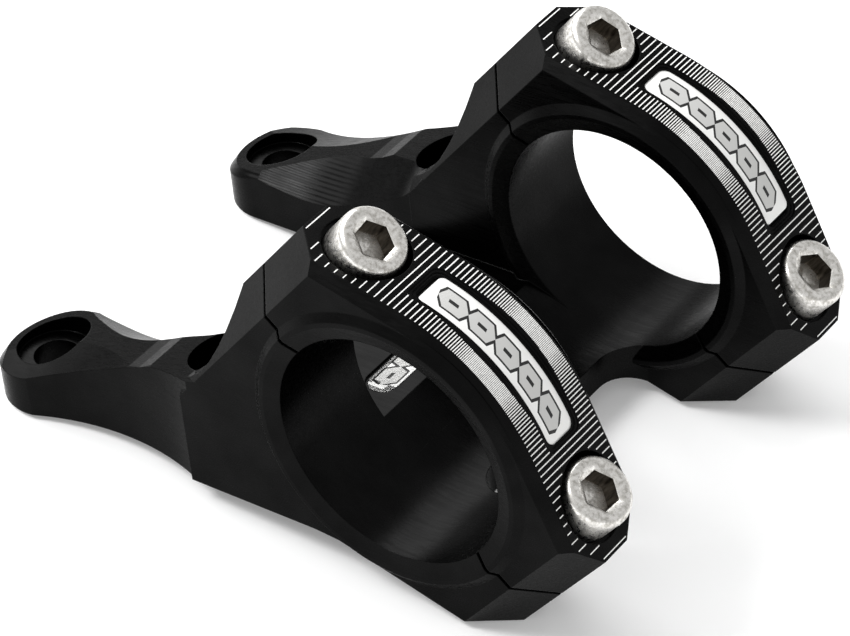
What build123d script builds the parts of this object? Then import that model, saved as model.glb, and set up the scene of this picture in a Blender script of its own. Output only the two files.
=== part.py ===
from build123d import *
import math
import os

# Direct-mount handlebar stem: one machined body, two clamp faceplates and four cap screws.
# Frame: origin at the centre of the four crown holes on the crown seat face, +X towards
# the handlebar, +Y to the rider's left, +Z up along the crown bolts.

# Handlebar clamp
bar_diameter = 35.0
bar_axis_x = 49.5
bar_axis_z = 19.1
split_angle = 41.0            # lean of the split plane below the horizontal, degrees
split_gap = 0.6
clamp_width = 16.4
clamp_centre_y = 26.9
clamp_half_span = 29.2        # from the bar axis to the end face of an ear
ear_flat = 5.1                # width of the narrow end face of an ear
ear_facet_start = 23.9        # where the corner facets leave the side faces
ring_height = 0.9             # raised lip round each side of the bore
ring_ridge_radius = 20.1
ring_foot_radius = 21.6

# Faceplate
plate_crown = 22.6            # highest point of the front above the split plane
plate_radius = 28.0           # curvature of the middle of the front
plate_fall = 26.0             # slope of the straight ends of the front, degrees
plate_edge_chamfer = 1.4      # along both edges of the front
badge_length = 25.8
badge_width = 5.1
badge_depth = 0.7
badge_cove_width = 1.2        # sloped border round the badge recess
badge_cove_depth = 0.45

# Clamp screws (M6 socket head cap screws)
screw_spacing = 43.2
screw_radius = 3.0
screw_length = 20.0
head_radius = 5.0
head_height = 6.0
head_seat = 11.9              # head bearing face above the split plane
socket_across_flats = 5.0
socket_depth = 3.4
thread_pitch = 1.0
thread_depth = 0.55
clearance_radius = 3.3
running_fit = 0.06
spotface_radius = 5.6

# Crown holes
crown_spacing_x = 32.7
crown_spacing_y = 54.0
crown_hole_radius = 3.3
crown_head_radius = 5.5
rear_floor_z = 5.0
front_floor_z = 9.0

# Arms
lug_radius = 8.2
waist_radius = 34.0
waist_depth = 3.0
waist_centre_x = 1.5
arm_top_slope = 15.5
rear_top_z = 8.0
front_top_z = 18.0
scallop_slope = 36.9
lug_edge_width = 1.1
lug_edge_depth = 0.9
outer_scallop_radius = 80.0
outer_scallop_slope = 15.0

# Crossbar between the two clamps
web_top_z = 6.9
steerer_clearance = 21.0
web_front_x = 49.6

os.makedirs("parts", exist_ok=True)

bar_radius = bar_diameter / 2
inner_y = clamp_centre_y - clamp_width / 2
outer_y = clamp_centre_y + clamp_width / 2
half_gap = split_gap / 2
lean = math.radians(split_angle)


def from_split(p, n):
    """Point in the XZ plane from distances along (p) and above (n) the split plane."""
    x = bar_axis_x + p * math.cos(lean) + n * math.sin(lean)
    z = bar_axis_z - p * math.sin(lean) + n * math.cos(lean)
    return (x, z)


def split_plane(p=0.0, y=0.0, n=0.0):
    """Plane parallel to the split, its local X pointing down the split."""
    x, z = from_split(p, n)
    return Plane(
        origin=(x, y, z),
        x_dir=(math.cos(lean), 0, -math.sin(lean)),
        z_dir=(math.sin(lean), 0, math.cos(lean)),
    )


def side_prism(points, y_start, y_end):
    """Prism across the stem from XZ outline points."""
    outline = Polyline(*[(x, 0, z) for x, z in points], close=True)
    prism = extrude(make_face(outline), amount=y_end - y_start, dir=(0, 1, 0))
    return Pos(0, y_start, 0) * prism


def across(radius, y_start, y_end, x=bar_axis_x, z=bar_axis_z):
    """Cylinder lying along Y."""
    length = y_end - y_start
    return Pos(x, (y_start + y_end) / 2, z) * Rot(90, 0, 0) * Cylinder(radius, length)


def upright(radius, z_start, z_end, x, y):
    """Cylinder standing along Z."""
    return Pos(x, y, (z_start + z_end) / 2) * Cylinder(radius, z_end - z_start)


def along_screw(radius, p, y, n_start, n_end):
    """Cylinder standing on the split plane, along a clamp screw."""
    middle = split_plane(p, y, (n_start + n_end) / 2)
    return middle * Cylinder(radius, n_end - n_start)


def ear_section(depth, n_start):
    """Clamp section seen along the screws: a bar with facetted corners."""
    half = clamp_width / 2
    tip = ear_flat / 2
    corners = [
        (-clamp_half_span, -tip),
        (-ear_facet_start, -half),
        (ear_facet_start, -half),
        (clamp_half_span, -tip),
        (clamp_half_span, tip),
        (ear_facet_start, half),
        (-ear_facet_start, half),
        (-clamp_half_span, tip),
    ]
    outline = make_face(Polyline(*corners, close=True))
    return split_plane(0, clamp_centre_y, n_start) * extrude(outline, amount=depth)


def bore_rings():
    """Raised lips with a long inner chamfer on both sides of one clamp."""
    section = [
        (0.0, -0.5),
        (ring_foot_radius + 0.5, -0.5),
        (ring_foot_radius, 0.0),
        (ring_ridge_radius + 0.35, ring_height),
        (ring_ridge_radius - 0.35, ring_height),
        (0.0, ring_height - 0.1),
    ]
    rings = []
    axis = Axis((bar_axis_x, 0, bar_axis_z), (0, 1, 0))
    for y, way in ((outer_y, 1), (inner_y, -1)):
        points = [(bar_axis_x + r, y + way * h, bar_axis_z) for r, h in section]
        rings.append(revolve(make_face(Polyline(*points, close=True)), axis=axis))
    return rings


def bore_cutter():
    """Bar bore through one clamp with the long chamfers on its lips."""
    lip = ring_ridge_radius - 0.35
    drop = ring_height - 0.05
    section = [
        (0.0, inner_y - ring_height - 2.0),
        (lip, inner_y - ring_height - 2.0),
        (lip, inner_y - ring_height),
        (bar_radius, inner_y - ring_height + drop),
        (bar_radius, outer_y + ring_height - drop),
        (lip, outer_y + ring_height),
        (lip, outer_y + ring_height + 2.0),
        (0.0, outer_y + ring_height + 2.0),
    ]
    outline = Polyline(*[(bar_axis_x + r, y, bar_axis_z) for r, y in section], close=True)
    axis = Axis((bar_axis_x, 0, bar_axis_z), (0, 1, 0))
    return revolve(make_face(outline), axis=axis)


def split_half(upper):
    """Large block covering everything above or below the split plane."""
    block = Box(140, 140, 80)
    shift = half_gap + 40 if upper else -half_gap - 40
    return split_plane(0, 0, shift) * block


def clamp_block():
    """Rear half of one clamp with its ears, before the bore is cut."""
    ear_under_start = from_split(5.1, -21.4)
    ear_under_end = from_split(clamp_half_span + 2, -9.0)
    under_x = ear_under_start[0]
    outline = [
        (14.0, 0.0),
        (under_x - 4.0, 0.0),
        (under_x, -0.35),
        ear_under_end,
        from_split(clamp_half_span + 2, 3.0),
        from_split(-clamp_half_span - 2, 3.0),
        from_split(-clamp_half_span - 2, -5.0),
        (23.4, 33.4),
        (22.9, 30.4),
        (22.1, 27.4),
        (21.1, 24.8),
        (19.7, 22.2),
        (17.9, 20.0),
        (15.6, 18.0),
        (14.0, 17.0),
    ]
    prism = side_prism(outline, inner_y, outer_y)
    section = ear_section(80, -50)
    return prism & section & split_half(False)


def arm_outline():
    """Plan of one arm: round lug, waisted outer side, straight inner side."""
    x0 = -crown_spacing_x / 2
    y0 = crown_spacing_y / 2
    reach = waist_centre_x - x0
    waist_y = outer_y - waist_depth
    x_end = 38.0
    wide_x = 15.5
    edge = [
        Line((x_end, inner_y), (x0, y0 - lug_radius)),
        ThreePointArc(
            (x0, y0 - lug_radius),
            (x0 - lug_radius, y0),
            (x0 + lug_radius * math.sin(0.16), y0 + lug_radius * math.cos(0.16)),
        ),
        ThreePointArc(
            (x0 + lug_radius * math.sin(0.16), y0 + lug_radius * math.cos(0.16)),
            (waist_centre_x, waist_y),
            (wide_x, outer_y),
        ),
        Line((wide_x, outer_y), (x_end, outer_y)),
        Line((x_end, outer_y), (x_end, inner_y)),
    ]
    return make_face(edge)


def arm_block():
    """One arm with its sloping top, front pad and the two long scallops."""
    arm = extrude(arm_outline(), amount=24)
    slope = math.tan(math.radians(arm_top_slope))
    x0 = crown_spacing_x / 2
    land = [(-40.0, rear_top_z + slope * (-40.0 + x0))]
    land.append((2.2, rear_top_z + slope * (2.2 + x0)))
    land.append((4.6, rear_top_z + slope * (4.6 + x0) + 0.35))
    land.append((6.8, front_top_z + slope * (6.8 - x0)))
    land.append((60.0, front_top_z + slope * (60.0 - x0)))
    above = land + [(60.0, 60.0), (-40.0, 60.0)]
    arm -= side_prism(above, 0, 60)

    tilt = math.radians(scallop_slope)
    away = Vector(0, math.cos(tilt), math.sin(tilt))
    back = 10.0
    trough = [
        (x0 * -2.2, 9.0),
        (-18.0, 8.5),
        (-14.5, 7.4),
        (-11.0, 6.9),
        (-5.0, 6.6),
        (0.0, 7.5),
        (4.0, 9.2),
        (8.0, 11.2),
        (12.3, 13.4),
        (17.0, 18.5),
        (21.0, 24.0),
    ]
    start = Vector(0, inner_y, 0) - away * back
    points = [(x, start.Y, z + start.Z) for x, z in trough]
    floor = Spline(*points)
    lid = Polyline(points[-1], (21.0, start.Y, 50), (-36.0, start.Y, 50), points[0])
    arm -= extrude(make_face([floor, lid]), amount=60, dir=away)

    tilt = math.radians(outer_scallop_slope)
    ridge = Vector(-10.0, outer_y - 3.0, rear_top_z + slope * (-10.0 + x0) - 1.2)
    up = Vector(-math.sin(math.radians(arm_top_slope)), math.sin(tilt), math.cos(tilt))
    up = up.normalized()
    middle = ridge + up * outer_scallop_radius
    side = Vector(0, math.cos(tilt), -math.sin(tilt)).cross(up)
    tool = Plane(origin=middle, x_dir=side, z_dir=side.cross(up))
    arm -= tool * Cylinder(outer_scallop_radius, 60)

    # chamfer round the top of the lug, square to its sloping top face
    lean_back = math.radians(arm_top_slope)
    top = Plane(
        origin=(-x0, crown_spacing_y / 2, rear_top_z),
        x_dir=(math.cos(lean_back), 0, math.sin(lean_back)),
        z_dir=(-math.sin(lean_back), 0, math.cos(lean_back)),
    )
    edge = [
        (lug_radius - lug_edge_width, 0, 0.05),
        (lug_radius + 1.4, 0, -lug_edge_depth * 2.2),
        (lug_radius + 3.0, 0, 0.05),
    ]
    ring = revolve(make_face(Polyline(*edge, close=True)), axis=Axis.Z)
    ring -= Pos(25 + 1.5, 0, 0) * Box(50, 50, 10)
    arm -= top * ring
    return arm


def crossbar():
    """Bridge between the clamps, hollowed by the bore and cleared for the steerer."""
    outline = [
        (0.0, 0.0),
        (34.9, 0.0),
        (39.0, -0.35),
        (web_front_x, -3.2),
        (web_front_x, 6.0),
        (41.0, 6.0),
        (41.0, 3.8),
        (34.8, web_top_z),
        (0.0, web_top_z),
    ]
    bar = side_prism(outline, -inner_y - 0.5, inner_y + 0.5)
    bar -= Cylinder(steerer_clearance, 60)
    bar -= across(bar_radius, -30, 30)
    pocket = Pos(30.0, 0, web_top_z) * extrude(SlotOverall(27, 5.2, rotation=90), amount=-0.3)
    return bar - pocket


def ear_fillet(side):
    """Web corner that carries the crossbar round into the front ear."""
    reach = 6.0
    x = web_front_x
    y = side * (inner_y + 0.2)
    pad = Pos(x + reach / 2 - 0.5, y - side * reach / 2, -2) * Box(reach + 1, reach, 16)
    pad -= upright(reach, -20, 20, x + reach, y - side * reach)
    under = [(40.0, -0.6), (60.0, -6.05), (60.0, 6.0), (40.0, 6.0)]
    pad &= side_prism(under, -60, 60)
    return pad


def crown_hole(x, y, floor_z):
    """Bolt hole with a counterbore open upwards."""
    cutter = upright(crown_hole_radius, -1, 60, x, y)
    cutter += upright(crown_head_radius, floor_z, 60, x, y)
    return cutter


def make_body():
    half = clamp_block() + arm_block()
    for ring in bore_rings():
        half += ring & split_half(False)
    half -= bore_cutter()
    x0 = crown_spacing_x / 2
    y0 = crown_spacing_y / 2
    half -= crown_hole(-x0, y0, rear_floor_z)
    half -= crown_hole(x0, y0, front_floor_z)
    for p in (-screw_spacing / 2, screw_spacing / 2):
        half -= along_screw(screw_radius + running_fit, p, clamp_centre_y, -10.5, 1)
        rim = split_plane(p, clamp_centre_y, -half_gap - 0.3)
        half -= rim * Cone(screw_radius, screw_radius + 0.7, 0.7)
    half -= across(bar_radius, 0, 60)
    body = half + mirror(half, about=Plane.XZ) + crossbar()
    for side in (-1, 1):
        body += ear_fillet(side) - across(bar_radius, -60, 60)
    body &= Box(400, 400, 400)
    return body


def plate_front(drop, y_start, y_end):
    """Block under the front of a faceplate: a curved middle with straight falling ends."""
    fall = math.radians(plate_fall)
    radius = plate_radius - drop
    crown = plate_crown - drop
    p_end = radius * math.sin(fall)
    n_end = crown - radius * (1 - math.cos(fall))
    reach = clamp_half_span + 8.0
    n_tip = n_end - (reach - p_end) * math.tan(fall)
    section = Plane(
        origin=(bar_axis_x, y_end, bar_axis_z),
        x_dir=(math.cos(lean), 0, -math.sin(lean)),
        z_dir=(0, -1, 0),
    )
    outline = [
        Line((-reach, half_gap), (-reach, n_tip)),
        Line((-reach, n_tip), (-p_end, n_end)),
        ThreePointArc((-p_end, n_end), (0, crown), (p_end, n_end)),
        Line((p_end, n_end), (reach, n_tip)),
        Line((reach, n_tip), (reach, half_gap)),
        Line((reach, half_gap), (-reach, half_gap)),
    ]
    return section * extrude(make_face(outline), amount=y_end - y_start)


def make_faceplate():
    """Faceplate of the +Y clamp."""
    plate = plate_front(0, inner_y, outer_y)
    middle = split_plane(0, clamp_centre_y, 0)
    front_edges = []
    for edge in plate.edges():
        spot = middle.to_local_coords(edge.center())
        along_side = abs(abs(spot.Y) - clamp_width / 2) < 0.01
        on_front = spot.Z > half_gap + 0.5 and abs(spot.X) < clamp_half_span + 7
        if along_side and on_front:
            front_edges.append(edge)
    plate = chamfer(front_edges, plate_edge_chamfer)
    plate &= ear_section(40, half_gap)
    for ring in bore_rings():
        plate += ring & split_half(True)
    plate -= bore_cutter()

    # recess for the badge, following the curve of the front, with a sloped border
    window = RectangleRounded(badge_length, badge_width, 0.8)
    sight = split_plane(0, clamp_centre_y, plate_crown - 8)
    deep = sight * extrude(window, amount=14)
    plate -= deep - plate_front(badge_depth, inner_y, outer_y)
    steps = 3
    for step in range(steps):
        share = (step + 0.5) / steps
        drop = badge_cove_depth * (step + 1) / steps
        inset = badge_cove_width * share
        shelf = RectangleRounded(
            badge_length + 2 * (badge_cove_width - inset),
            badge_width + 2 * (badge_cove_width - inset),
            1.2,
        )
        cut = sight * extrude(shelf, amount=14)
        plate -= cut - plate_front(drop, inner_y, outer_y)

    for p in (-screw_spacing / 2, screw_spacing / 2):
        plate -= along_screw(clearance_radius, p, clamp_centre_y, -1, 30)
        plate -= along_screw(spotface_radius, p, clamp_centre_y, head_seat, 30)
    return plate


def make_screw(p, y):
    """Socket head cap screw with a rounded head edge and ridged thread."""
    head = Cylinder(head_radius, head_height)
    head = fillet(head.edges().group_by(Axis.Z)[-1], 0.45)
    head = chamfer(head.edges().group_by(Axis.Z)[0], 0.2)
    head = Pos(0, 0, head_height / 2) * head
    hexagon = RegularPolygon(socket_across_flats / 2, 6, major_radius=False)
    head -= Pos(0, 0, head_height - socket_depth) * extrude(hexagon, amount=10)
    head -= Pos(0, 0, head_height - 0.25) * Cone(2.7, 3.2, 0.5)
    point = Pos(0, 0, head_height - socket_depth - 0.5) * Cone(0.3, 2.4, 1.0)
    head -= point

    root = screw_radius - thread_depth
    grip = 8.0
    length = screw_length
    outline = [(0.0, 0.1), (screw_radius - 0.1, 0.1), (screw_radius - 0.1, -grip)]
    z = -grip
    while z - thread_pitch > -length + 0.5:
        outline.append((root, z - thread_pitch * 0.42))
        outline.append((root, z - thread_pitch * 0.55))
        outline.append((screw_radius, z - thread_pitch * 0.94))
        outline.append((screw_radius, z - thread_pitch))
        z -= thread_pitch
    outline.append((root, z - 0.42))
    outline.append((root - 0.3, -length))
    outline.append((0.0, -length))
    profile = make_face(Polyline(*[(r, 0, v) for r, v in outline], close=True))
    shank = revolve(profile, axis=Axis.Z)
    screw = head + shank
    return split_plane(p, y, head_seat) * screw


body = make_body()
export_step(body, "parts/stem_body.step")

left_plate = make_faceplate()
right_plate = mirror(left_plate, about=Plane.XZ)
export_step(left_plate, "parts/left_faceplate.step")
export_step(right_plate, "parts/right_faceplate.step")

screw_places = {
    "left_upper_screw": (-1, 1),
    "left_lower_screw": (1, 1),
    "right_upper_screw": (-1, -1),
    "right_lower_screw": (1, -1),
}
for name, (end, side) in screw_places.items():
    screw = make_screw(end * screw_spacing / 2, side * clamp_centre_y)
    export_step(screw, f"parts/{name}.step")
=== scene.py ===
import logging
import math
from dataclasses import dataclass
from enum import Enum
from typing import Callable, Iterator

import bmesh
import bpy
from mathutils import Matrix, Vector
from mathutils.bvhtree import BVHTree


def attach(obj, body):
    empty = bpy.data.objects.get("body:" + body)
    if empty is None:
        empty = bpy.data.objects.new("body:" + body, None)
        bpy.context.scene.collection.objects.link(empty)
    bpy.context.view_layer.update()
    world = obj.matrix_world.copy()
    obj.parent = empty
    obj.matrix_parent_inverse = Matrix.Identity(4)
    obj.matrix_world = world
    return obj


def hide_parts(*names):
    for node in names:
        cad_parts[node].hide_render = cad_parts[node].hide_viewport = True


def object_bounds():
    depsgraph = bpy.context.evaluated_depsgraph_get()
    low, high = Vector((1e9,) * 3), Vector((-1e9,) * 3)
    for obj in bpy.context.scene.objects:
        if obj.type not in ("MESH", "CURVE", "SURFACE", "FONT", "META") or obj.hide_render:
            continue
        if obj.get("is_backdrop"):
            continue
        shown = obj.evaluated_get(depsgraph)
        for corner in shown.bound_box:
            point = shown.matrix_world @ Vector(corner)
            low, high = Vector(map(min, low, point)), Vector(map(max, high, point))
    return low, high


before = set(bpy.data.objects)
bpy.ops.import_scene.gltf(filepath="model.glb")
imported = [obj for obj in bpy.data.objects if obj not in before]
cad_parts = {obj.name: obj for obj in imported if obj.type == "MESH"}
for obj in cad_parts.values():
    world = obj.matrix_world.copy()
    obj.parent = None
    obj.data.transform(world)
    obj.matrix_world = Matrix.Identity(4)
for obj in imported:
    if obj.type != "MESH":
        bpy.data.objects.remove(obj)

log = logging.getLogger("handlebar_stem")

MM = 0.001
Pair = tuple[float, float]
Triple = tuple[float, float, float]
Socket = bpy.types.NodeSocket
Profile = Callable[[float], float]

# edges sharper than this stay crisp, softer ones are shaded round
SHARP_DEG = 32


class Side(Enum):
    """Which half of the stem a piece belongs to."""

    LEFT = 1
    RIGHT = -1


class End(Enum):
    """Which end of a faceplate a screw sits at."""

    UPPER = -1
    LOWER = 1


# ---------------------------------------------------------------------------
# Small helpers
# ---------------------------------------------------------------------------


def linear(hex_colour: str) -> tuple[float, float, float, float]:
    """Turns an sRGB hex colour into linear RGBA.

    Args:
        hex_colour: Six hex digits, with or without a leading hash.

    Returns:
        The colour as Blender sockets want it.
    """
    digits = hex_colour.lstrip("#")
    channels = [int(digits[i : i + 2], 16) / 255 for i in (0, 2, 4)]
    flat = [c / 12.92 if c <= 0.04045 else ((c + 0.055) / 1.055) ** 2.4 for c in channels]
    return (flat[0], flat[1], flat[2], 1.0)


def add_node(
    tree: bpy.types.NodeTree,
    kind: str,
    settings: dict | None = None,
    values: dict | None = None,
    links: dict | None = None,
) -> bpy.types.Node:
    """Adds one shader node.

    Args:
        tree: The node tree it goes in.
        kind: Blender's node type name.
        settings: Properties of the node itself.
        values: Constants for its input sockets, by name or index.
        links: Output sockets that feed its input sockets, by name or index.

    Returns:
        The new node.
    """
    node = tree.nodes.new(kind)
    for name, value in (settings or {}).items():
        setattr(node, name, value)
    for key, value in (values or {}).items():
        node.inputs[key].default_value = value
    for key, source in (links or {}).items():
        tree.links.new(source, node.inputs[key])
    return node


def new_material(name: str) -> tuple[bpy.types.Material, bpy.types.NodeTree]:
    """Returns an empty node material and its tree."""
    material = bpy.data.materials.new(name)
    material.use_nodes = True
    material.node_tree.nodes.clear()
    return material, material.node_tree


def new_object(name: str, bm: bmesh.types.BMesh, matrix: Matrix) -> bpy.types.Object:
    """Turns a bmesh into a linked object.

    Args:
        name: Piece name.
        bm: Mesh in the piece's own coordinates, in metres. It is freed.
        matrix: Where the piece stands in the row frame.

    Returns:
        The new object, smooth shaded.
    """
    mesh = bpy.data.meshes.new(name)
    bmesh.ops.recalc_face_normals(bm, faces=bm.faces)
    bm.to_mesh(mesh)
    bm.free()
    for polygon in mesh.polygons:
        polygon.use_smooth = True
    mesh.set_sharp_from_angle(angle=math.radians(SHARP_DEG))
    obj = bpy.data.objects.new(name, mesh)
    bpy.context.scene.collection.objects.link(obj)
    obj.matrix_world = matrix
    return obj


def spread(start: float, stop: float, count: int) -> list[float]:
    """Returns evenly spaced numbers, both ends included."""
    return [start + (stop - start) * i / (count - 1) for i in range(count)]


# ---------------------------------------------------------------------------
# Where things are on the stem
# ---------------------------------------------------------------------------


@dataclass(frozen=True)
class ClampLayout:
    """Main sizes of the clamps, in millimetres.

    The split coordinates are p, down along the split from upper to lower screw, y across
    the stem and n, square out of the split towards the front.
    """

    bar_x: float = 49.5
    bar_z: float = 19.1
    lean_deg: float = 41.0
    centre_y: float = 26.9
    half_width: float = 8.2
    facet_start: float = 23.9
    facet_slope: float = 1.064
    screw_p: float = 21.6
    seat_n: float = 11.9

    def matrix(self, p: float, y: float, n: float) -> Matrix:
        """Returns the row-frame matrix of axes p, y, n placed at that point."""
        lean = math.radians(self.lean_deg)
        down = Vector((math.cos(lean), 0.0, -math.sin(lean)))
        out = Vector((math.sin(lean), 0.0, math.cos(lean)))
        spot = Vector((self.bar_x, y, self.bar_z)) + down * p + out * n
        turn = Matrix((down, Vector((0, 1, 0)), out)).transposed().to_4x4()
        return Matrix.Translation(spot * MM) @ turn


LAYOUT = ClampLayout()


# ---------------------------------------------------------------------------
# Finishes
# ---------------------------------------------------------------------------


@dataclass(frozen=True)
class BlackAnodised:
    """Black dyed anodising over milled aluminium.

    The oxide keeps the cutter marks, so broad faces carry faint milling lines, and the dye
    leaves a deep black with a dull satin gloss that turns bright only at grazing angles.
    """

    name: str
    dye: str = "#121212"
    bloom: str = "#181818"
    rim: str = "#cccccc"
    roughness: float = 0.27
    grain_mm: float = 0.18
    edge_mm: float = 0.22
    cloud_mm: float = 9.0
    cloud_ends: Pair = (0.35, 0.70)
    cutter_line_mm: float = 0.45
    cutter_stretch: float = 0.06
    ripple_pitch_mm: float = 0.78
    ripple_way: Triple = (0.0, 0.8, 0.6)
    scoop_side_mm: Pair = (25.6, 23.5)
    scoop_front_mm: Pair = (4.0, -2.0)
    scoop_facing_up: Pair = (0.30, 0.45)
    land_facing_up: Pair = (0.97, 0.90)
    ripples: bool = False

    def _milling(self, tree: bpy.types.NodeTree, spot: Socket) -> Socket:
        """Height of the ball-cutter ripples in the scooped inner sides of the arms.

        Args:
            tree: Material tree.
            spot: Position in the row frame.

        Returns:
            Socket of the height, zero away from the scooped faces.
        """
        mirrored = add_node(
            tree, "ShaderNodeVectorMath", {"operation": "ABSOLUTE"}, links={0: spot}
        )
        along = add_node(
            tree,
            "ShaderNodeVectorMath",
            {"operation": "DOT_PRODUCT"},
            {1: self.ripple_way},
            {0: mirrored.outputs[0]},
        )
        turns = 2 * math.pi / (self.ripple_pitch_mm * MM)
        phase = add_node(
            tree,
            "ShaderNodeMath",
            {"operation": "MULTIPLY"},
            {1: turns},
            {0: along.outputs["Value"]},
        )
        wave = add_node(tree, "ShaderNodeMath", {"operation": "SINE"}, links={0: phase.outputs[0]})
        parts = add_node(tree, "ShaderNodeSeparateXYZ", links={0: spot})
        width = add_node(
            tree, "ShaderNodeMath", {"operation": "ABSOLUTE"}, links={0: parts.outputs["Y"]}
        )
        # the ripples fade out where the scoop meets the flat land of the arm
        inside = add_node(
            tree,
            "ShaderNodeMapRange",
            {"interpolation_type": "SMOOTHSTEP"},
            {"From Min": self.scoop_side_mm[0] * MM, "From Max": self.scoop_side_mm[1] * MM},
            {"Value": width.outputs[0]},
        )
        behind = add_node(
            tree,
            "ShaderNodeMapRange",
            {"interpolation_type": "SMOOTHSTEP"},
            {"From Min": self.scoop_front_mm[0] * MM, "From Max": self.scoop_front_mm[1] * MM},
            {"Value": parts.outputs["X"]},
        )
        mask = add_node(
            tree,
            "ShaderNodeMath",
            {"operation": "MULTIPLY"},
            links={0: inside.outputs[0], 1: behind.outputs[0]},
        )
        # only the scoops lean half way up; lands and side walls were cut another way
        facing = add_node(tree, "ShaderNodeTexCoord").outputs["Normal"]
        tilt = add_node(tree, "ShaderNodeSeparateXYZ", links={0: facing})
        leaning = add_node(
            tree,
            "ShaderNodeMapRange",
            {"interpolation_type": "SMOOTHSTEP"},
            {"From Min": self.scoop_facing_up[0], "From Max": self.scoop_facing_up[1]},
            {"Value": tilt.outputs["Z"]},
        )
        level = add_node(
            tree,
            "ShaderNodeMapRange",
            {"interpolation_type": "SMOOTHSTEP"},
            {"From Min": self.land_facing_up[0], "From Max": self.land_facing_up[1]},
            {"Value": tilt.outputs["Z"]},
        )
        scoop = add_node(
            tree,
            "ShaderNodeMath",
            {"operation": "MULTIPLY"},
            links={0: leaning.outputs[0], 1: level.outputs[0]},
        )
        place = add_node(
            tree,
            "ShaderNodeMath",
            {"operation": "MULTIPLY"},
            links={0: mask.outputs[0], 1: scoop.outputs[0]},
        )
        return add_node(
            tree,
            "ShaderNodeMath",
            {"operation": "MULTIPLY"},
            links={0: wave.outputs[0], 1: place.outputs[0]},
        ).outputs[0]

    def build(self) -> bpy.types.Material:
        """Returns the finished material."""
        material, tree = new_material(self.name)
        spot = add_node(tree, "ShaderNodeTexCoord").outputs["Object"]
        # dye takes unevenly over a few millimetres
        cloud = add_node(
            tree,
            "ShaderNodeTexNoise",
            values={"Scale": 1 / (self.cloud_mm * MM), "Detail": 3.0, "Roughness": 0.55},
            links={"Vector": spot},
        )
        tint = add_node(tree, "ShaderNodeValToRGB", links={"Fac": cloud.outputs["Fac"]})
        tint.color_ramp.elements[0].position = self.cloud_ends[0]
        tint.color_ramp.elements[0].color = linear(self.dye)
        tint.color_ramp.elements[1].position = self.cloud_ends[1]
        tint.color_ramp.elements[1].color = linear(self.bloom)
        # cutter lines run along X; they are typically 0.1 mm apart, drawn coarser to show
        stretch = add_node(
            tree,
            "ShaderNodeMapping",
            {"vector_type": "POINT"},
            {"Scale": (self.cutter_stretch, 1.0, 1.0)},
            {"Vector": spot},
        )
        lines = add_node(
            tree,
            "ShaderNodeTexNoise",
            values={"Scale": 1 / (self.cutter_line_mm * MM), "Detail": 4.0, "Roughness": 0.6},
            links={"Vector": stretch.outputs[0]},
        )
        # blasted grain is typically under 0.05 mm, drawn coarser to show
        grain = add_node(
            tree,
            "ShaderNodeTexNoise",
            values={"Scale": 1 / (self.grain_mm * MM), "Detail": 2.0},
            links={"Vector": spot},
        )
        gloss = add_node(
            tree,
            "ShaderNodeMapRange",
            values={
                "From Min": 0.3,
                "From Max": 0.7,
                "To Min": self.roughness - 0.05,
                "To Max": self.roughness + 0.07,
            },
            links={"Value": lines.outputs["Fac"]},
        )
        # broken edges catch a thin line of light
        rounded = add_node(
            tree, "ShaderNodeBevel", {"samples": 4}, {"Radius": self.edge_mm * MM}
        )
        fine = add_node(
            tree,
            "ShaderNodeBump",
            values={"Strength": 0.10, "Distance": 0.02 * MM},
            links={"Height": grain.outputs["Fac"], "Normal": rounded.outputs[0]},
        )
        top = add_node(
            tree,
            "ShaderNodeBump",
            values={"Strength": 0.16, "Distance": 0.05 * MM},
            links={"Height": lines.outputs["Fac"], "Normal": fine.outputs[0]},
        )
        if self.ripples:
            top = add_node(
                tree,
                "ShaderNodeBump",
                values={"Strength": 0.40, "Distance": 0.03 * MM},
                links={"Height": self._milling(tree, spot), "Normal": top.outputs[0]},
            )
        # the dyed layer swallows some of the light that skims along the face
        shader = add_node(
            tree,
            "ShaderNodeBsdfPrincipled",
            values={"Metallic": 1.0, "Specular Tint": linear(self.rim)},
            links={
                "Base Color": tint.outputs[0],
                "Roughness": gloss.outputs[0],
                "Normal": top.outputs[0],
            },
        )
        add_node(tree, "ShaderNodeOutputMaterial", links={"Surface": shader.outputs[0]})
        return material


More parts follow.
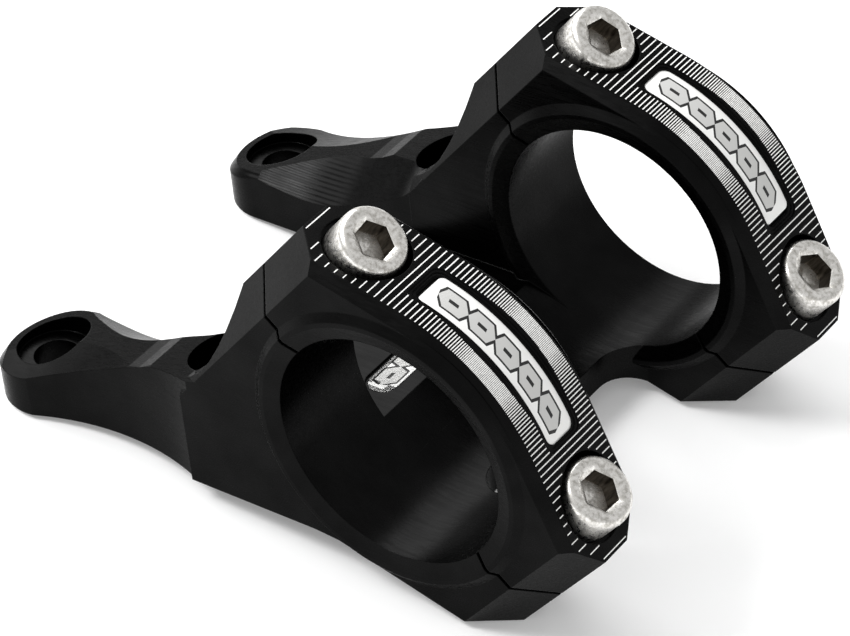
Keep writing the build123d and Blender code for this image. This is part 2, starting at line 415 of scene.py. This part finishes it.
@dataclass(frozen=True)
class StainlessSteel:
    """Tumbled stainless steel of the screw heads: bright, mottled and softly scratched."""

    name: str = "stainless_tumbled"
    clean: str = "#e9e7e3"
    dull: str = "#b4b1ab"
    roughness: float = 0.25
    mottle_mm: float = 0.6
    mottle_ends: Pair = (0.36, 0.60)
    pit_mm: float = 0.35

    def build(self) -> bpy.types.Material:
        """Returns the finished material."""
        material, tree = new_material(self.name)
        spot = add_node(tree, "ShaderNodeTexCoord").outputs["Object"]
        # passivated skin is cloudy: dull patches are also rougher
        mottle = add_node(
            tree,
            "ShaderNodeTexNoise",
            values={"Scale": 1 / (self.mottle_mm * MM), "Detail": 5.0, "Roughness": 0.62},
            links={"Vector": spot},
        )
        tint = add_node(tree, "ShaderNodeValToRGB", links={"Fac": mottle.outputs["Fac"]})
        tint.color_ramp.elements[0].position = self.mottle_ends[0]
        tint.color_ramp.elements[0].color = linear(self.dull)
        tint.color_ramp.elements[1].position = self.mottle_ends[1]
        tint.color_ramp.elements[1].color = linear(self.clean)
        # dents from tumbling against other screws, a third of a millimetre across
        pits = add_node(
            tree,
            "ShaderNodeTexVoronoi",
            {"feature": "F1"},
            {"Scale": 1 / (self.pit_mm * MM), "Randomness": 1.0},
            {"Vector": spot},
        )
        gloss = add_node(
            tree,
            "ShaderNodeMapRange",
            values={
                "From Min": 0.35,
                "From Max": 0.65,
                "To Min": self.roughness + 0.16,
                "To Max": self.roughness - 0.04,
            },
            links={"Value": mottle.outputs["Fac"]},
        )
        dents = add_node(
            tree,
            "ShaderNodeBump",
            values={"Strength": 0.14, "Distance": 0.04 * MM},
            links={"Height": pits.outputs["Distance"]},
        )
        rough = add_node(
            tree,
            "ShaderNodeBump",
            values={"Strength": 0.16, "Distance": 0.05 * MM},
            links={"Height": mottle.outputs["Fac"], "Normal": dents.outputs[0]},
        )
        shader = add_node(
            tree,
            "ShaderNodeBsdfPrincipled",
            values={"Metallic": 1.0},
            links={
                "Base Color": tint.outputs[0],
                "Roughness": gloss.outputs[0],
                "Normal": rough.outputs[0],
            },
        )
        add_node(tree, "ShaderNodeOutputMaterial", links={"Surface": shader.outputs[0]})
        return material


@dataclass(frozen=True)
class ShadedForgedSocket:
    """Walls of a cold-forged key socket: brownish, dull and streaked from top to bottom, and much
    darker than the head's steel, which is painted shade of the recess.
    """

    name: str = "forged_socket_painted_shade"
    deep_shade: str = "#332c23"
    worn_shaded: str = "#7d756a"
    streak_mm: float = 0.5
    streak_ends: Pair = (0.35, 0.72)
    streak_squeeze: float = 0.2

    def build(self) -> bpy.types.Material:
        """Returns the finished material."""
        material, tree = new_material(self.name)
        spot = add_node(tree, "ShaderNodeTexCoord").outputs["Object"]
        # the punch drags the metal down the walls
        drawn = add_node(
            tree,
            "ShaderNodeMapping",
            values={"Scale": (1.0, 1.0, self.streak_squeeze)},
            links={"Vector": spot},
        )
        streaks = add_node(
            tree,
            "ShaderNodeTexNoise",
            values={"Scale": 1 / (self.streak_mm * MM), "Detail": 4.0},
            links={"Vector": drawn.outputs[0]},
        )
        # both streak colours sit far below the head's steel: that darkness is painted shade of the
        # recess, the streaks are the forged texture
        tint = add_node(tree, "ShaderNodeValToRGB", links={"Fac": streaks.outputs["Fac"]})
        tint.color_ramp.elements[0].position = self.streak_ends[0]
        tint.color_ramp.elements[0].color = linear(self.deep_shade)
        tint.color_ramp.elements[1].position = self.streak_ends[1]
        tint.color_ramp.elements[1].color = linear(self.worn_shaded)
        dents = add_node(
            tree,
            "ShaderNodeBump",
            values={"Strength": 0.3, "Distance": 0.05 * MM},
            links={"Height": streaks.outputs["Fac"]},
        )
        shader = add_node(
            tree,
            "ShaderNodeBsdfPrincipled",
            values={"Metallic": 1.0, "Roughness": 0.42},
            links={"Base Color": tint.outputs[0], "Normal": dents.outputs[0]},
        )
        add_node(tree, "ShaderNodeOutputMaterial", links={"Surface": shader.outputs[0]})
        return material


@dataclass(frozen=True)
class LaserEtch:
    """Laser-bleached oxide: chalky white lines with a slightly grainy edge."""

    name: str = "laser_etch"
    chalk: str = "#f4f4f2"
    grey: str = "#cfcfcd"
    grain_mm: float = 0.25
    grain_ends: Pair = (0.30, 0.55)

    def build(self) -> bpy.types.Material:
        """Returns the finished material."""
        material, tree = new_material(self.name)
        spot = add_node(tree, "ShaderNodeTexCoord").outputs["Object"]
        # laser dots are typically 0.05 mm across, drawn coarser to show
        grain = add_node(
            tree,
            "ShaderNodeTexNoise",
            values={"Scale": 1 / (self.grain_mm * MM), "Detail": 3.0},
            links={"Vector": spot},
        )
        tint = add_node(tree, "ShaderNodeValToRGB", links={"Fac": grain.outputs["Fac"]})
        tint.color_ramp.elements[0].position = self.grain_ends[0]
        tint.color_ramp.elements[0].color = linear(self.grey)
        tint.color_ramp.elements[1].position = self.grain_ends[1]
        tint.color_ramp.elements[1].color = linear(self.chalk)
        shader = add_node(
            tree,
            "ShaderNodeBsdfPrincipled",
            values={"Metallic": 0.0, "Roughness": 0.65},
            links={"Base Color": tint.outputs[0]},
        )
        add_node(tree, "ShaderNodeOutputMaterial", links={"Surface": shader.outputs[0]})
        return material


@dataclass(frozen=True)
class DiamondBadge:
    """Bare, lightly frosted aluminium of the badges, with a plain row of six-sided cells.

    The frosting spreads reflections, so a badge stays pale from every side. Each cell is
    outlined in dark ink, filled with a darker silver and marked by a short slot.
    """

    name: str = "diamond_badge"
    panel: str = "#eeeeec"
    fill: str = "#c4c4c2"
    ink: str = "#151515"
    cell_mm: float = 4.6
    cells: int = 5
    # whole cells keep the fraction positive, and the half centres one on the badge
    cell_offset: float = 20.5
    lean: float = 0.30
    half_height_mm: float = 1.95
    line_share: float = 0.15
    slant_grip: Pair = (1.55, 0.42)
    slot_half: Pair = (0.16, 0.14)
    frost_mm: float = 0.3

    def build(self) -> bpy.types.Material:
        """Returns the finished material."""
        material, tree = new_material(self.name)
        spot = add_node(tree, "ShaderNodeTexCoord").outputs["Object"]
        parts = add_node(tree, "ShaderNodeSeparateXYZ", links={0: spot})
        fill_edge = 1.0 - self.line_share
        # each step is: result, operation, then operands that are numbers or earlier results
        steps = (
            # the cells lean a little, like cut slats
            ("shift", "MULTIPLY", "y", self.lean),
            ("along", "ADD", "x", "shift"),
            ("across", "ABSOLUTE", "y"),
            ("across", "DIVIDE", "across", self.half_height_mm * MM),
            ("cell", "DIVIDE", "along", self.cell_mm * MM),
            ("cell", "ADD", "cell", self.cell_offset),
            ("cell", "FRACT", "cell"),
            ("cell", "SUBTRACT", "cell", 0.5),
            ("cell", "ABSOLUTE", "cell"),
            # two level sides and four slanted ones
            ("slant", "MULTIPLY", "cell", self.slant_grip[0]),
            ("half_across", "MULTIPLY", "across", self.slant_grip[1]),
            ("slant", "ADD", "slant", "half_across"),
            ("reach", "MAXIMUM", "slant", "across"),
            ("outline", "SUBTRACT", "reach", fill_edge),
            ("outline", "ABSOLUTE", "outline"),
            ("outline", "LESS_THAN", "outline", self.line_share / 2),
            ("slot_x", "LESS_THAN", "cell", self.slot_half[0]),
            ("slot_y", "LESS_THAN", "across", self.slot_half[1]),
            ("slot", "MULTIPLY", "slot_x", "slot_y"),
            ("inked", "MAXIMUM", "outline", "slot"),
            ("inside", "LESS_THAN", "reach", fill_edge),
            # the row ends after a whole number of cells
            ("reach_x", "ABSOLUTE", "along"),
            ("row", "LESS_THAN", "reach_x", self.cells * self.cell_mm / 2 * MM),
            ("inked", "MULTIPLY", "inked", "row"),
            ("inside", "MULTIPLY", "inside", "row"),
        )
        sockets = {"x": parts.outputs["X"], "y": parts.outputs["Y"]}
        for result, operation, *operands in steps:
            values = {i: o for i, o in enumerate(operands) if not isinstance(o, str)}
            links = {i: sockets[o] for i, o in enumerate(operands) if isinstance(o, str)}
            node = add_node(tree, "ShaderNodeMath", {"operation": operation}, values, links)
            sockets[result] = node.outputs[0]
        # blasting texture is typically under 0.05 mm, drawn coarser to show
        frost = add_node(
            tree,
            "ShaderNodeTexNoise",
            values={"Scale": 1 / (self.frost_mm * MM), "Detail": 3.0},
            links={"Vector": spot},
        )
        filled = add_node(
            tree,
            "ShaderNodeMix",
            {"data_type": "RGBA"},
            {"A": linear(self.panel), "B": linear(self.fill)},
            {"Factor": sockets["inside"]},
        )
        drawn = add_node(
            tree,
            "ShaderNodeMix",
            {"data_type": "RGBA"},
            {"B": linear(self.ink)},
            {"Factor": sockets["inked"], "A": filled.outputs["Result"]},
        )
        texture = add_node(
            tree,
            "ShaderNodeBump",
            values={"Strength": 0.12, "Distance": 0.03 * MM},
            links={"Height": frost.outputs["Fac"]},
        )
        shader = add_node(
            tree,
            "ShaderNodeBsdfPrincipled",
            values={"Metallic": 0.15, "Roughness": 0.48},
            links={"Base Color": drawn.outputs["Result"], "Normal": texture.outputs[0]},
        )
        add_node(tree, "ShaderNodeOutputMaterial", links={"Surface": shader.outputs[0]})
        return material


@dataclass(frozen=True)
class StudioPaper:
    """Seamless white studio paper: matte, with a barely visible fibre."""

    name: str = "studio_paper"
    sheet: str = "#eeeeee"
    fibre: str = "#e9e9e9"
    fibre_mm: float = 2.0
    glow: float = 0.22

    def build(self) -> bpy.types.Material:
        """Returns the finished material."""
        material, tree = new_material(self.name)
        spot = add_node(tree, "ShaderNodeTexCoord").outputs["Object"]
        # clumps of fibre, a couple of millimetres long
        fibre = add_node(
            tree,
            "ShaderNodeTexNoise",
            values={"Scale": 1 / (self.fibre_mm * MM), "Detail": 2.0},
            links={"Vector": spot},
        )
        tint = add_node(
            tree,
            "ShaderNodeMix",
            {"data_type": "RGBA"},
            {"A": linear(self.sheet), "B": linear(self.fibre)},
            {"Factor": fibre.outputs["Fac"]},
        )
        # a little light of its own keeps the sheet white in the soft shadows
        shader = add_node(
            tree,
            "ShaderNodeBsdfPrincipled",
            values={
                "Roughness": 0.9,
                "Specular IOR Level": 0.1,
                "Emission Strength": self.glow,
            },
            links={
                "Base Color": tint.outputs["Result"],
                "Emission Color": tint.outputs["Result"],
            },
        )
        add_node(tree, "ShaderNodeOutputMaterial", links={"Surface": shader.outputs[0]})
        return material


# ---------------------------------------------------------------------------
# Pieces
# ---------------------------------------------------------------------------


@dataclass
class MachinedBody:
    """One-piece body: arms, bridge and the rear halves of both clamps."""

    node: str = "stem_body"
    badge_x_mm: float = 30.0
    badge_z_mm: float = 6.6
    badge_length_mm: float = 26.2
    badge_width_mm: float = 4.5
    badge_thickness_mm: float = 0.22
    badge_roundness: float = 0.98

    def dress(self, finish: BlackAnodised) -> None:
        """Gives the machined body its finish.

        Args:
            finish: Anodising, with the cutter ripples of the scooped arms.
        """
        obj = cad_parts[self.node]
        obj.data.materials.clear()
        obj.data.materials.append(finish.build())
        log.info("dressed %s", self.node)

    def add_badge(self, material: bpy.types.Material) -> None:
        """Lays the bridge badge in its round-ended recess.

        Args:
            material: Finish of the badge panel.
        """
        half_x = self.badge_length_mm / 2
        half_y = self.badge_width_mm / 2
        corner = half_y * self.badge_roundness
        panel = BadgePanel(half_x, half_y, corner, lambda _: 0.0, self.badge_thickness_mm)
        place = Matrix.Translation(Vector((self.badge_x_mm, 0, self.badge_z_mm)) * MM)
        place = place @ Matrix.Rotation(math.pi / 2, 4, "Z")
        obj = panel.build("bridge_badge", place)
        obj.data.materials.append(material)
        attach(obj, "stem")
        log.info("added %s", obj.name)


@dataclass
class BadgePanel:
    """Thin panel with rounded corners that follows the curve of the face below it."""

    half_x_mm: float
    half_y_mm: float
    corner_mm: float
    height_mm: Profile
    thickness_mm: float
    columns: int = 72
    rows: int = 8
    soften_mm: float = 0.06
    thinnest_mm: Pair = (0.05, 0.02)

    def _half_width(self, x: float) -> float:
        """Returns the half width of the panel at a distance along it."""
        inset = abs(x) - (self.half_x_mm - self.corner_mm)
        if inset <= 0:
            return self.half_y_mm
        drop = self.corner_mm - math.sqrt(max(0.0, self.corner_mm**2 - inset**2))
        return max(self.half_y_mm - drop, self.thinnest_mm[0])

    def _stations(self) -> list[float]:
        """Returns distances along the panel, closer together round the corners."""
        steps = spread(-1.0, 1.0, self.columns)
        return [self.half_x_mm * math.sin(s * math.pi / 2) for s in steps]

    def build(self, name: str, place: Matrix) -> bpy.types.Object:
        """Builds the panel.

        Args:
            name: Piece name.
            place: Row-frame matrix of the panel's own axes.

        Returns:
            The panel object.
        """
        bm = bmesh.new()
        soften = self.soften_mm
        rings = []
        for x in self._stations():
            half = self._half_width(x)
            z = self.height_mm(x)
            column = [(-half, -self.thickness_mm), (-half, -soften)]
            inner = max(half - soften, self.thinnest_mm[1])
            column += [(y, 0.0) for y in spread(-inner, inner, self.rows)]
            column += [(half, -soften), (half, -self.thickness_mm)]
            rings.append([bm.verts.new(Vector((x, y, z + d)) * MM) for y, d in column])
        for left, right in zip(rings, rings[1:]):
            for i in range(len(left)):
                j = (i + 1) % len(left)
                bm.faces.new((left[i], right[i], right[j], left[j]))
        bm.faces.new(rings[0])
        bm.faces.new(list(reversed(rings[-1])))
        return new_object(name, bm, place)


@dataclass
class EtchedLines:
    """Laser-etched lines that run across a faceplate.

    They stand far apart near the screws and crowd together half way between them. There the
    gap never falls under closest_mm, which keeps separate lines where real ones merge.
    """

    side: Side
    band_half_mm: float = 6.6
    line_mm: float = 0.15
    lift_mm: float = 0.012
    closest_mm: float = 0.22
    first_gap_mm: float = 0.05
    gap_growth: float = 0.056
    centre_shift_mm: float = 1.1
    last_line_mm: float = 28.7
    end_gap_mm: float = 1.4
    window_half_mm: float = 13.3
    window_end_mm: float = 2.95
    window_bulge_mm: float = 1.2
    screw_clear_mm: float = 5.8
    edge_margin_mm: float = 0.45
    deepest_mm: float = 0.08
    sink_mm: float = 0.02
    ray_start_mm: float = 40.0
    samples: int = 165
    shortest_run: int = 4
    step_every: int = 7

    def _positions(self) -> list[float]:
        """Returns where the lines cross the middle of the plate."""
        centre = -self.side.value * self.centre_shift_mm
        places = [centre]
        for way in (-1, 1):
            reach = 0.0
            while True:
                gap = self.first_gap_mm + self.gap_growth * reach
                reach += max(self.closest_mm, gap)
                p = centre + way * reach
                if abs(p) > self.last_line_mm - self.end_gap_mm:
                    break
                places.append(p)
        return places + [-self.last_line_mm, self.last_line_mm]

    def _allowed(self, p: float, y: float) -> bool:
        """Says whether a point of the face is etched."""
        reach = self.band_half_mm
        past = abs(p) - LAYOUT.facet_start
        if past > 0:
            narrowed = LAYOUT.half_width - past * LAYOUT.facet_slope
            reach = min(reach, narrowed - self.edge_margin_mm)
        if abs(y) > reach:
            return False
        along = abs(p) / self.window_half_mm
        opening = self.window_end_mm + self.window_bulge_mm * (1 - along**2)
        if along < 1 and abs(y) < opening:
            return False
        gap = math.hypot(abs(p) - LAYOUT.screw_p, y)
        return gap > self.screw_clear_mm

    def _runs(self, p: float) -> Iterator[list[float]]:
        """Yields the unbroken stretches of one line as lists of y."""
        run: list[float] = []
        for y in spread(-LAYOUT.half_width, LAYOUT.half_width, self.samples):
            if self._allowed(p, y):
                run.append(y)
            elif run:
                yield run
                run = []
        if run:
            yield run

    def _ribbon(self, bm: bmesh.types.BMesh, sections: list[tuple[Vector, ...]]) -> None:
        """Adds one closed strip.

        Args:
            bm: Mesh being built.
            sections: Four corners at each sample along the strip; only some are kept.
        """
        if len(sections) < 3:
            return
        keep = sections[:: self.step_every] + [sections[-1]]
        rings = [[bm.verts.new(corner) for corner in section] for section in keep]
        for left, right in zip(rings, rings[1:]):
            for i in range(4):
                j = (i + 1) % 4
                bm.faces.new((left[i], right[i], right[j], left[j]))
        bm.faces.new(rings[0])
        bm.faces.new(list(reversed(rings[-1])))

    def build(
        self,
        shell: bpy.types.Object,
        face: Profile,
        material: bpy.types.Material,
    ) -> None:
        """Lays every line on the face of the plate.

        Args:
            shell: The faceplate whose surface the lines follow.
            face: Height of the face at p, which tells it from the sunken badge border.
            material: Finish of the lines.
        """
        tree = BVHTree.FromObject(shell, bpy.context.evaluated_depsgraph_get())
        place = LAYOUT.matrix(0, self.side.value * LAYOUT.centre_y, 0)
        away = (place.to_3x3() @ Vector((0, 0, 1))).normalized()
        into = place.inverted()

        def on_face(p: float, y: float) -> Vector | None:
            """Drops a point on to the plate, in its own axes, or None where it is sunk."""
            start = place @ (Vector((p, y, self.ray_start_mm)) * MM)
            spot, _, _, _ = tree.ray_cast(start, -away)
            if spot is None:
                return None
            local = into @ spot
            sunk = face(p) * MM - local.z > self.deepest_mm * MM
            return None if sunk else local

        bm = bmesh.new()
        half = self.line_mm / 2
        lift = Vector((0, 0, self.lift_mm * MM))
        sink = Vector((0, 0, -self.sink_mm * MM))
        for p in self._positions():
            for run in self._runs(p):
                if len(run) < self.shortest_run:
                    continue
                sections: list[tuple[Vector, ...]] = []
                for y in run + [math.inf]:
                    edge = [None]
                    if y < math.inf:
                        edge = [on_face(p - half, y), on_face(p + half, y)]
                    if None in edge:
                        self._ribbon(bm, sections)
                        sections = []
                        continue
                    a, b = edge
                    sections.append((a + lift, b + lift, b + sink, a + sink))
        name = f"{self.side.name.lower()}_etched_lines"
        obj = new_object(name, bm, place)
        obj.data.materials.append(material)
        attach(obj, f"{self.side.name.lower()}_plate")
        log.info("added %s", name)


@dataclass
class Faceplate:
    """One clamp faceplate with its badge and etched lines."""

    side: Side
    crown_mm: float = 22.6
    radius_mm: float = 28.0
    fall_deg: float = 26.0
    badge_drop_mm: float = 0.43
    badge_half_mm: Pair = (12.85, 2.86)
    badge_shift_mm: float = 0.4
    badge_corner_mm: float = 0.9
    badge_thickness_mm: float = 0.34

    @property
    def key(self) -> str:
        """Returns the start of this plate's piece names."""
        return self.side.name.lower()

    def front(self, p: float, drop: float = 0.0) -> float:
        """Returns how far the face, or a face sunk by drop, stands above the split at p."""
        radius = self.radius_mm - drop
        crown = self.crown_mm - drop
        fall = math.radians(self.fall_deg)
        bend = radius * math.sin(fall)
        if abs(p) < bend:
            return crown - radius + math.sqrt(radius**2 - p**2)
        return crown - radius * (1 - math.cos(fall)) - (abs(p) - bend) * math.tan(fall)

    def dress(self, finish: BlackAnodised, etch: bpy.types.Material) -> None:
        """Gives the plate its finish and its etched lines.

        Args:
            finish: Anodising of the plate.
            etch: Finish of the etched lines.
        """
        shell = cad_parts[f"{self.key}_faceplate"]
        shell.data.materials.clear()
        shell.data.materials.append(finish.build())
        EtchedLines(self.side).build(shell, self.front, etch)
        log.info("dressed %s", shell.name)

    def add_badge(self, material: bpy.types.Material) -> None:
        """Lays the badge panel in the recess of the plate.

        Args:
            material: Finish of the badge panel.
        """
        half_x, half_y = self.badge_half_mm
        shift = -self.side.value * self.badge_shift_mm
        place = LAYOUT.matrix(shift, self.side.value * LAYOUT.centre_y, 0)
        drop = self.badge_drop_mm
        panel = BadgePanel(
            half_x,
            half_y,
            self.badge_corner_mm,
            lambda x: self.front(x + shift, drop),
            self.badge_thickness_mm,
        )
        obj = panel.build(f"{self.key}_badge", place)
        obj.data.materials.append(material)
        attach(obj, f"{self.key}_plate")
        log.info("added %s", obj.name)


@dataclass
class ClampScrew:
    """Socket head cap screw with a rolled thread, in millimetres."""

    side: Side
    end: End
    turn_deg: float
    head_radius: float = 5.0
    head_height: float = 6.0
    seat_gap: float = 0.03
    key_size: float = 5.0
    key_depth: float = 3.4
    mouth_radius: float = 3.42
    mouth_depth: float = 0.42
    shank_radius: float = 3.0
    length: float = 20.0
    plain: float = 8.0
    pitch: float = 1.0
    thread_depth: float = 0.55
    run_in: float = 0.8
    run_out: float = 1.0
    root_flat: float = 0.15
    flank_width: float = 0.70
    row_step: float = 0.0835
    relief: float = 0.1
    tip_drop: float = 0.55
    tip_radius: float = 1.9
    axis_radius: float = 0.01
    under_chamfer: Pair = (0.25, 0.2)
    fillet: float = 1.05
    fillet_steps: int = 6
    mouth_lip: Pair = (0.08, 0.03)
    key_lead: Pair = (0.12, 0.05)
    floor_radius: float = 2.3
    floor_sink: Pair = (0.02, 0.5)
    sides: int = 96

    @property
    def node(self) -> str:
        """Returns the name of the CAD node this screw stands for."""
        return f"{self.side.name.lower()}_{self.end.name.lower()}_screw"

    def _hexagon(self, angle: float) -> float:
        """Returns the radius of the key socket at an angle."""
        corner = (angle + math.pi / 6) % (math.pi / 3) - math.pi / 6
        # corners stand at every sixth of a turn from 0, flats face half way between them
        return self.key_size / 2 / math.cos(math.pi / 6 - abs(corner))

    def _ring(self, bm: bmesh.types.BMesh, radius: Profile, z: float) -> list[bmesh.types.BMVert]:
        """Adds one ring of vertices.

        Args:
            bm: Mesh being built.
            radius: Radius at each angle.
            z: Height of the ring above the head's seat.

        Returns:
            The ring's vertices in order.
        """
        ring = []
        for i in range(self.sides):
            angle = 2 * math.pi * i / self.sides
            r = radius(angle)
            spot = Vector((r * math.cos(angle), r * math.sin(angle), z))
            ring.append(bm.verts.new(spot * MM))
        return ring

    def _thread(self, z: float) -> Profile:
        """Returns the helical thread's radius round the shank at a height."""
        run_in = min(1.0, max(0.0, (-self.plain - z) / self.run_in))
        run_out = min(1.0, max(0.0, (z + self.length) / self.run_out))
        depth = self.thread_depth * run_in
        crest = self.shank_radius - self.tip_drop * (1 - run_out) - self.relief * (1 - run_in)

        def radius(angle: float) -> float:
            """Follows the flank of a rolled thread."""
            phase = (z / self.pitch - angle / (2 * math.pi)) % 1.0
            flank = abs(phase - 0.5) * 2.0
            groove = min(1.0, max(0.0, (flank - self.root_flat) / self.flank_width))
            return crest - depth * (1.0 - groove)

        return radius

    def _profile(self) -> list[tuple[Profile, float]]:
        """Returns rings from the tip of the shank, over the head, to the socket floor."""

        def plain_ring(r: float) -> Profile:
            """Returns a round ring."""
            return lambda _: r

        axis = plain_ring(self.axis_radius)
        neck = plain_ring(self.shank_radius - self.relief)
        barrel = plain_ring(self.head_radius)
        top = self.head_height
        rings = [(axis, -self.length), (plain_ring(self.tip_radius), -self.length)]
        threaded = self.length - self.plain
        rows = int(threaded / self.row_step)
        for z in spread(-self.length + 0.02, -self.plain, rows):
            rings.append((self._thread(z), z))
        rings.append((neck, -self.plain + self.relief))
        rings.append((neck, self.seat_gap))
        chamfer, rise = self.under_chamfer
        rings.append((plain_ring(self.head_radius - chamfer), self.seat_gap))
        rings += [(barrel, z) for z in (rise, 1.5, 3.0, 4.5)]
        for step in range(self.fillet_steps + 1):
            bend = step / self.fillet_steps * math.pi / 2
            r = self.head_radius - self.fillet * (1 - math.cos(bend))
            rings.append((plain_ring(r), top - self.fillet * (1 - math.sin(bend))))
        lip, dip = self.mouth_lip
        rings.append((plain_ring(self.mouth_radius + lip), top))
        rings.append((plain_ring(self.mouth_radius), top - dip))
        mouth = top - self.mouth_depth
        wider, lead = self.key_lead
        rings.append((lambda a: self._hexagon(a) + wider, mouth + lead))
        floor = top - self.key_depth
        rings += [(self._hexagon, z) for z in spread(mouth - lead, floor, 5)]
        rings.append((plain_ring(self.floor_radius), floor - self.floor_sink[0]))
        rings.append((axis, floor - self.floor_sink[1]))
        return rings

    def build(self, steel: bpy.types.Material, socket: bpy.types.Material) -> None:
        """Builds the screw and puts it in the place of its CAD node.

        Args:
            steel: Finish of the head and shank.
            socket: Finish of the key socket's walls, darkened as painted shade of the recess; its
                floor is steel.
        """
        bm = bmesh.new()
        previous: list = []
        for radius, z in self._profile():
            ring = self._ring(bm, radius, z)
            for i in range(self.sides if previous else 0):
                j = (i + 1) % self.sides
                bm.faces.new((previous[i], previous[j], ring[j], ring[i]))
            previous = ring
        bmesh.ops.remove_doubles(bm, verts=bm.verts, dist=0.012 * MM)
        place = LAYOUT.matrix(
            self.end.value * LAYOUT.screw_p,
            self.side.value * LAYOUT.centre_y,
            LAYOUT.seat_n,
        )
        place = place @ Matrix.Rotation(math.radians(self.turn_deg), 4, "Z")
        obj = new_object(f"{self.node}_turned", bm, place)
        obj.data.materials.append(steel)
        obj.data.materials.append(socket)
        # the walls take the darker socket finish, painted shade of the recess; the floor keeps the
        # bright steel
        for polygon in obj.data.polygons:
            centre = polygon.center / MM
            inside = math.hypot(centre.x, centre.y) < 3.0
            floor = self.head_height - self.key_depth
            if inside and floor - 0.01 < centre.z < self.head_height - self.mouth_depth:
                polygon.material_index = 1
        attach(obj, f"{self.node}_turning")
        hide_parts(self.node)
        log.info("built %s", obj.name)


# ---------------------------------------------------------------------------
# Studio
# ---------------------------------------------------------------------------


@dataclass
class Studio:
    """Paper floor, a large softbox behind, a small one high up, and the camera."""

    floor_high_mm: Pair = (-24.5, -0.05)
    floor_low_mm: Pair = (65.0, -7.65)
    camera_mm: Triple = (297.61, -330.87, 329.92)
    aim_mm: Triple = (30.91, -1.48, 11.86)
    roll_deg: float = -6.06
    lens_mm: float = 160.89
    floor_half_m: float = 2.5
    floor_cells: int = 24
    world_glow: Pair = (0.75, 0.72)

    def lay_floor(self) -> None:
        """Lays the sheet of paper the stem rests on, under its lowest edges."""
        x0, z0 = self.floor_high_mm
        x1, z1 = self.floor_low_mm
        slope = math.atan2(z0 - z1, x1 - x0)
        bm = bmesh.new()
        cells = self.floor_cells
        bmesh.ops.create_grid(bm, x_segments=cells, y_segments=cells, size=self.floor_half_m)
        place = Matrix.Translation(Vector((x0, 0, z0)) * MM) @ Matrix.Rotation(slope, 4, "Y")
        floor = new_object("studio_floor", bm, place)
        floor.data.materials.append(StudioPaper().build())
        floor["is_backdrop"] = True
        log.info("laid the floor")

    def _softbox(
        self,
        name: str,
        heading: Triple,
        size: Pair,
        power: float,
        distance: float = 1.2,
    ) -> None:
        """Hangs one rectangular softbox that faces the stem.

        Args:
            name: Light name.
            heading: Direction from the stem to the light.
            size: Width and height in metres.
            power: Watts.
            distance: Metres from the stem.
        """
        data = bpy.data.lights.new(name, "AREA")
        data.shape = "RECTANGLE"
        data.size, data.size_y = size
        data.energy = power
        lamp = bpy.data.objects.new(name, data)
        bpy.context.scene.collection.objects.link(lamp)
        way = Vector(heading).normalized()
        lamp.location = Vector(self.aim_mm) * MM + way * distance
        lamp.rotation_euler = way.to_track_quat("Z", "Y").to_euler()

    def light(self) -> None:
        """Hangs the lights and sets the white surroundings."""
        self._softbox("key_softbox", heading=(-0.66, 0.22, 0.72), size=(1.5, 0.85), power=14.0)
        self._softbox("top_softbox", heading=(-0.40, -0.42, 0.81), size=(0.34, 0.34), power=8.0)
        world = bpy.data.worlds.new("studio_world")
        bpy.context.scene.world = world
        world.use_nodes = True
        tree = world.node_tree
        tree.nodes.clear()
        way = add_node(tree, "ShaderNodeTexCoord").outputs["Generated"]
        parts = add_node(tree, "ShaderNodeSeparateXYZ", links={0: way})
        height = add_node(
            tree,
            "ShaderNodeMapRange",
            {"interpolation_type": "SMOOTHSTEP"},
            {
                "From Min": -0.02,
                "From Max": 0.25,
                "To Min": self.world_glow[0],
                "To Max": self.world_glow[1],
            },
            {"Value": parts.outputs["Z"]},
        )
        sky = add_node(
            tree,
            "ShaderNodeBackground",
            values={"Color": (1.0, 1.0, 1.0, 1.0)},
            links={"Strength": height.outputs[0]},
        )
        add_node(tree, "ShaderNodeOutputWorld", links={"Surface": sky.outputs[0]})
        settings = bpy.context.scene.view_settings
        settings.view_transform = "Standard"
        settings.look = "None"
        log.info("hung the lights")

    def aim_camera(self) -> None:
        """Sets the camera at the viewing angle."""
        data = bpy.data.cameras.new("camera")
        data.sensor_width = 36.0
        data.lens = self.lens_mm
        data.clip_start = 0.01
        camera = bpy.data.objects.new("camera", data)
        bpy.context.scene.collection.objects.link(camera)
        spot = Vector(self.camera_mm) * MM
        look = spot - Vector(self.aim_mm) * MM
        turn = look.to_track_quat("Z", "Y").to_matrix().to_4x4()
        roll = Matrix.Rotation(math.radians(self.roll_deg), 4, "Z")
        camera.matrix_world = Matrix.Translation(spot) @ turn @ roll
        bpy.context.scene.camera = camera
        log.info("aimed the camera")


def main() -> None:
    """Builds and dresses every piece in order, then the studio."""
    logging.basicConfig(level=logging.INFO, format="%(name)s: %(message)s")
    cad_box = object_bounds()
    etch = LaserEtch().build()
    badge = DiamondBadge().build()
    steel = StainlessSteel().build()
    # socket finish: steel darkened as painted shade for the walls of the key sockets
    socket = ShadedForgedSocket().build()

    body = MachinedBody()
    body.dress(BlackAnodised("black_anodised_body", ripples=True))
    body.add_badge(badge)
    for side in Side:
        plate = Faceplate(side)
        plate.dress(BlackAnodised(f"black_anodised_{plate.key}_plate"), etch)
        plate.add_badge(badge)
    turns = {
        (Side.RIGHT, End.UPPER): 36.0,
        (Side.RIGHT, End.LOWER): 27.5,
        (Side.LEFT, End.UPPER): 20.0,
        (Side.LEFT, End.LOWER): 0.0,
    }
    for (side, end), turn in turns.items():
        ClampScrew(side, end, turn).build(steel, socket)

    studio = Studio()
    studio.lay_floor()
    studio.light()
    studio.aim_camera()

    boxes = {"cad": cad_box, "visual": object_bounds()}
    plain = {name: [list(corner) for corner in box] for name, box in boxes.items()}


if __name__ == "__main__":
    main()
